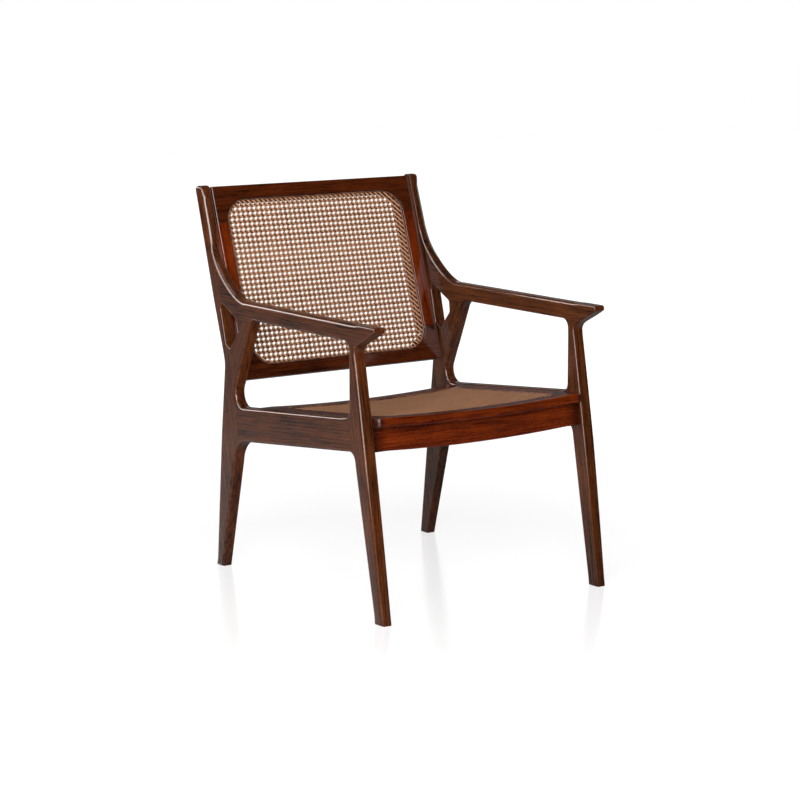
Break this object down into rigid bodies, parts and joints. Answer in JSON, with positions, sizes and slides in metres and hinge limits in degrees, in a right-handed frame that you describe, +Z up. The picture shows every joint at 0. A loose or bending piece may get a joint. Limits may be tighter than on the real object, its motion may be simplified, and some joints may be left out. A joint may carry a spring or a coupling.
{
  "type": "lounge armchair",
  "caption": "Low wooden lounge armchair with open sides, slim swept arms, a raked caned back panel and a dished caned seat.",
  "frame": {"origin": "on the floor, under the middle of the chair's bounding box", "axes": "+Z up; the chair faces -Y; +X is on the right for someone looking at its front"},
  "size_m": [0.6164, 0.7506, 0.873],
  "materials": {
    "frame_wood": "satin varnish over dark red-brown hardwood",
    "bright_wood": "satin varnish over warm orange-brown hardwood",
    "dark_wood": "satin varnish over the darkest hardwood",
    "cane": "woven natural cane webbing",
    "reed": "stained reed spline",
    "brass": "satin"
  },
  "bodies": {
    "root": {"right_front_leg": "frame_wood", "right_side_rail": "frame_wood", "right_arm": "frame_wood", "right_back_leg": "frame_wood", "right_brace": "frame_wood", "left_front_leg": "frame_wood", "left_side_rail": "frame_wood", "left_arm": "frame_wood", "left_back_leg": "frame_wood", "left_brace": "frame_wood", "back_bottom_rail": "dark_wood", "back_stile_left": "bright_wood", "back_stile_right": "bright_wood", "back_top_rail": "dark_wood", "back_cane": "cane", "back_spline": "reed", "seat_front_rail": "bright_wood", "seat_side_left": "bright_wood", "seat_side_right": "bright_wood", "seat_rear_rail": "bright_wood", "seat_cane": "cane", "seat_spline": "reed", "front_apron": "bright_wood", "rear_apron": "frame_wood", "corner_block_front_left": "frame_wood", "screw_front_left": "brass", "corner_block_front_right": "frame_wood", "screw_front_right": "brass", "corner_block_rear_left": "frame_wood", "screw_rear_left": "brass", "corner_block_rear_right": "frame_wood", "screw_rear_right": "brass"}
  },
  "joints": []
}
